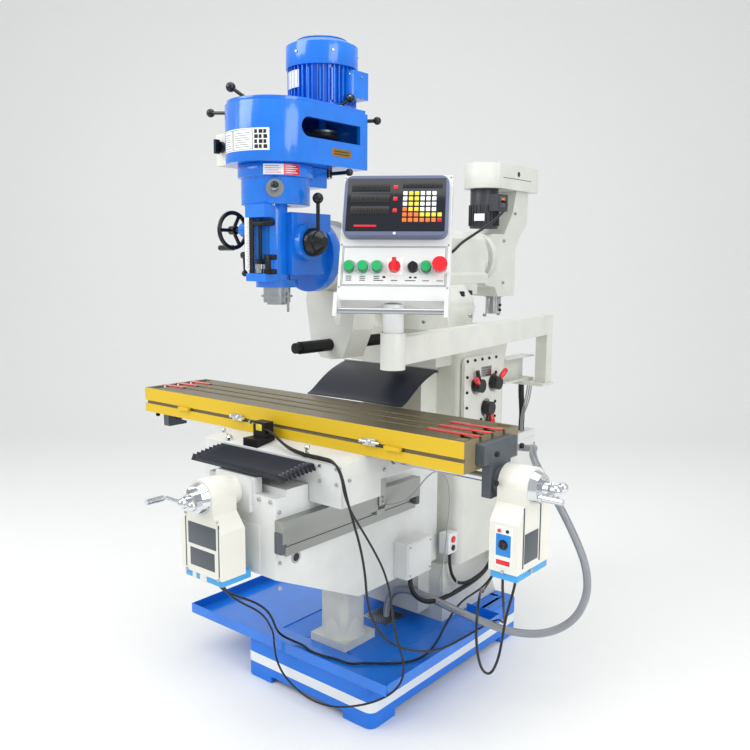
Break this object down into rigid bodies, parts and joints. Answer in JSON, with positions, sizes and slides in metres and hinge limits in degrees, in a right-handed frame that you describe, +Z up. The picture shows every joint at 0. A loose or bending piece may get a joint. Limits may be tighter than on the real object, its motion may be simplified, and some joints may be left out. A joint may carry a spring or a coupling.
{
  "type": "vertical milling machine",
  "caption": "Turret milling machine with a tilting vertical head, horizontal arbor, rear slotting head, knee, saddle, long T-slot table, power feeds, chip tray and swinging control console.",
  "frame": {"origin": "on the floor at the centre of the base's footprint, where its four anchor holes meet the floor", "axes": "+X to the operator's right, along the table; +Y from the operator to the back, along the ram; +Z up"},
  "size_m": [1.8093, 2.0113, 2.257],
  "materials": {
    "blue_paint": "gloss blue machine enamel",
    "grey_paint": "satin off-white machine enamel",
    "slate_paint": "satin slate grey paint",
    "table_iron": "ground cast iron table, yellow painted sides",
    "machined_steel": "turned and ground steel",
    "chrome_parts": "bright chrome",
    "black_parts": "black phenolic and blackened steel",
    "black_rubber": "black rubber sheet",
    "cream_plastic": "cream moulded casing",
    "green_plastic": "green button",
    "red_plastic": "red button and switch",
    "display_plastic": "grey-blue display housing",
    "aluminium_bar": "extruded aluminium",
    "motor_paint": "dark grey motor enamel"
  },
  "bodies": {
    "frame": {"base": "blue_paint", "chip_tray": "blue_paint", "column": "grey_paint", "electrical_cabinet": "grey_paint", "knee_pedestal": "grey_paint", "turret": "grey_paint", "rear_way_cover": "black_rubber", "y_feed_cable": "black_rubber", "steel_hose": "machined_steel"},
    "knee_group": {"knee": "grey_paint", "linear_scale": "aluminium_bar", "junction_box": "grey_paint", "y_power_feed": "cream_plastic", "front_bellows": "black_rubber"},
    "elevating_screw_group": {"elevating_screw": "machined_steel"},
    "y_crank_group": {"y_crank": "chrome_parts"},
    "saddle_group": {"saddle": "grey_paint", "limit_switch": "black_parts", "limit_switch_cable": "black_rubber", "x_feed_cable": "black_rubber"},
    "table_group": {"table": "table_iron", "end_brackets": "slate_paint", "x_power_feed": "cream_plastic"},
    "x_crank_group": {"x_crank": "chrome_parts"},
    "ram_group": {"ram": "grey_paint", "ram_adapter": "grey_paint", "arbor_support": "grey_paint"},
    "arbor_group": {"arbor": "black_parts"},
    "head_group": {"quill_housing": "blue_paint", "depth_stop": "machined_steel", "gear_housing": "blue_paint", "belt_housing": "blue_paint", "head_motor": "blue_paint", "drum_switch": "cream_plastic"},
    "drum_knob_group": {"drum_switch_knob": "black_parts"},
    "quill_group": {"quill": "machined_steel"},
    "spindle_group": {"spindle": "machined_steel"},
    "pulley_group": {"spindle_pulley": "aluminium_bar"},
    "quill_lever_group": {"quill_feed_lever": "black_parts"},
    "handwheel_group": {"fine_feed_handwheel": "black_parts"},
    "feed_lever_group": {"feed_lever": "black_parts"},
    "brake_lever_group": {"brake_lever": "black_parts"},
    "range_knob_group": {"range_knob": "machined_steel"},
    "slotting_group": {"slotting_body": "grey_paint", "slotting_belt_cover": "grey_paint", "slotting_motor": "motor_paint"},
    "slotting_ram_group": {"slotting_ram": "machined_steel"},
    "pendant_group": {"pendant_arm": "grey_paint"},
    "console_group": {"console_box": "grey_paint", "display": "display_plastic"},
    "start_button_group": {"start_button": "green_plastic"},
    "knee_up_button_group": {"knee_up_button": "green_plastic"},
    "knee_down_button_group": {"knee_down_button": "green_plastic"},
    "reset_button_group": {"reset_button": "green_plastic"},
    "cam_switch_group": {"cam_switch": "red_plastic"},
    "selector_group": {"selector_switch": "black_parts"},
    "e_stop_group": {"e_stop": "red_plastic"},
    "lever_upper_group": {"speed_lever_upper": "black_parts"},
    "lever_middle_group": {"speed_lever_middle": "black_parts"},
    "lever_lower_group": {"speed_lever_lower": "black_parts"}
  },
  "joints": [
    {"name": "knee_travel", "type": "slide", "parent": "frame", "child": "knee_group", "axis": [0, 0, 1], "range_m": [-0.2, 0.155], "deforming": ["rear_way_cover", "y_feed_cable", "limit_switch_cable", "x_feed_cable", "steel_hose"]},
    {"name": "elevating_screw_turn", "type": "hinge", "parent": "knee_group", "child": "elevating_screw_group", "pos_m": [0, -0.278, 0.6], "axis": [0, 0, 1], "continuous": true},
    {"name": "saddle_travel", "type": "slide", "parent": "knee_group", "child": "saddle_group", "axis": [0, 1, 0], "range_m": [-0.1, 0.18], "deforming": ["front_bellows", "rear_way_cover", "limit_switch_cable", "x_feed_cable"]},
    {"name": "y_crank_turn", "type": "hinge", "parent": "knee_group", "child": "y_crank_group", "pos_m": [0, -0.9, 0.842], "axis": [0, -1, 0], "continuous": true},
    {"name": "table_travel", "type": "slide", "parent": "saddle_group", "child": "table_group", "axis": [1, 0, 0], "range_m": [-0.35, 0.46], "deforming": ["limit_switch_cable", "x_feed_cable"]},
    {"name": "x_crank_turn", "type": "hinge", "parent": "table_group", "child": "x_crank_group", "pos_m": [0.85, -0.3845, 0.915], "axis": [1, 0, 0], "continuous": true},
    {"name": "ram_travel", "type": "slide", "parent": "frame", "child": "ram_group", "axis": [0, 1, 0], "range_m": [-0.1, 0.2]},
    {"name": "arbor_spin", "type": "hinge", "parent": "frame", "child": "arbor_group", "pos_m": [0, -0.2, 1.262], "axis": [0, 1, 0], "continuous": true},
    {"name": "head_tilt", "type": "hinge", "parent": "ram_group", "child": "head_group", "pos_m": [0, -0.42, 1.566], "axis": [0, 1, 0], "range_deg": [-45, 20]},
    {"name": "drum_switch_turn", "type": "hinge", "parent": "head_group", "child": "drum_knob_group", "pos_m": [-0.183, -0.66, 1.908], "axis": [0, 1, 0], "range_deg": [-60, 60]},
    {"name": "quill_travel", "type": "slide", "parent": "head_group", "child": "quill_group", "axis": [0, 0, 1], "range_m": [-0.127, 0]},
    {"name": "spindle_spin", "type": "hinge", "parent": "quill_group", "child": "spindle_group", "pos_m": [0, -0.596, 1.5], "axis": [0, 0, 1], "continuous": true},
    {"name": "pulley_spin", "type": "hinge", "parent": "head_group", "child": "pulley_group", "pos_m": [0, -0.596, 1.9], "axis": [0, 0, 1], "continuous": true},
    {"name": "quill_lever_turn", "type": "hinge", "parent": "head_group", "child": "quill_lever_group", "pos_m": [0.13, -0.551, 1.607], "axis": [1, 0, 0], "range_deg": [0, 335]},
    {"name": "handwheel_turn", "type": "hinge", "parent": "head_group", "child": "handwheel_group", "pos_m": [-0.156, -0.64, 1.646], "axis": [1, 0, 0], "continuous": true},
    {"name": "feed_lever_turn", "type": "hinge", "parent": "head_group", "child": "feed_lever_group", "pos_m": [-0.09, -0.64, 1.566], "axis": [1, 0, 0], "range_deg": [-30, 30]},
    {"name": "brake_lever_turn", "type": "hinge", "parent": "head_group", "child": "brake_lever_group", "pos_m": [0.07, -0.428, 1.828], "axis": [0, 0, 1], "range_deg": [-12, 25]},
    {"name": "range_knob_turn", "type": "hinge", "parent": "head_group", "child": "range_knob_group", "pos_m": [0.0764, -0.6724, 1.766], "axis": [0.7071, -0.7071, 0], "range_deg": [0, 90]},
    {"name": "slotting_swivel", "type": "hinge", "parent": "ram_group", "child": "slotting_group", "pos_m": [0, 0.502, 1.566], "axis": [0, 1, 0], "range_deg": [-90, 90]},
    {"name": "slotting_ram_travel", "type": "slide", "parent": "slotting_group", "child": "slotting_ram_group", "axis": [0, 0, 1], "range_m": [-0.12, 0]},
    {"name": "pendant_swivel", "type": "hinge", "parent": "frame", "child": "pendant_group", "pos_m": [0.315, 0.621, 1.15], "axis": [0, 0, 1], "range_deg": [-3, 70]},
    {"name": "console_swivel", "type": "hinge", "parent": "pendant_group", "child": "console_group", "pos_m": [0.48, -0.604, 1.3], "axis": [0, 0, 1], "range_deg": [-60, 60]},
    {"name": "start_button_press", "type": "slide", "parent": "console_group", "child": "start_button_group", "axis": [-0.4892, 0.7829, -0.3843], "range_m": [0, 0.004], "stiffness_N_per_m": 400},
    {"name": "knee_up_button_press", "type": "slide", "parent": "console_group", "child": "knee_up_button_group", "axis": [-0.4892, 0.7829, -0.3843], "range_m": [0, 0.004], "stiffness_N_per_m": 400},
    {"name": "knee_down_button_press", "type": "slide", "parent": "console_group", "child": "knee_down_button_group", "axis": [-0.4892, 0.7829, -0.3843], "range_m": [0, 0.004], "stiffness_N_per_m": 400},
    {"name": "reset_button_press", "type": "slide", "parent": "console_group", "child": "reset_button_group", "axis": [-0.4892, 0.7829, -0.3843], "range_m": [0, 0.004], "stiffness_N_per_m": 400},
    {"name": "e_stop_press", "type": "slide", "parent": "console_group", "child": "e_stop_group", "axis": [-0.4892, 0.7829, -0.3843], "range_m": [0, 0.004]},
    {"name": "cam_switch_turn", "type": "hinge", "parent": "console_group", "child": "cam_switch_group", "pos_m": [0.49028, -0.6136, 1.53636], "axis": [0.4892, -0.7829, 0.3843], "range_deg": [-60, 60]},
    {"name": "selector_turn", "type": "hinge", "parent": "console_group", "child": "selector_group", "pos_m": [0.53353, -0.58657, 1.53636], "axis": [0.4892, -0.7829, 0.3843], "range_deg": [-45, 45]},
    {"name": "speed_lever_upper_turn", "type": "hinge", "parent": "frame", "child": "lever_upper_group", "pos_m": [0.28, 0.185, 1.085], "axis": [1, 0, 0], "range_deg": [-45, 45]},
    {"name": "speed_lever_middle_turn", "type": "hinge", "parent": "frame", "child": "lever_middle_group", "pos_m": [0.28, 0.308, 1.083], "axis": [1, 0, 0], "range_deg": [-45, 45]},
    {"name": "speed_lever_lower_turn", "type": "hinge", "parent": "frame", "child": "lever_lower_group", "pos_m": [0.28, 0.257, 0.99], "axis": [1, 0, 0], "range_deg": [-45, 45]}
  ],
  "couplings": [
    {"joint": "elevating_screw_turn", "follows": "knee_travel", "rad_per_m": 1256.6},
    {"joint": "y_crank_turn", "follows": "saddle_travel", "rad_per_m": 1256.6},
    {"joint": "x_crank_turn", "follows": "table_travel", "rad_per_m": 1256.6},
    {"joint": "quill_lever_turn", "follows": "quill_travel", "rad_per_m": -45.455},
    {"joint": "pulley_spin", "follows": "spindle_spin", "ratio": 1}
  ]
}
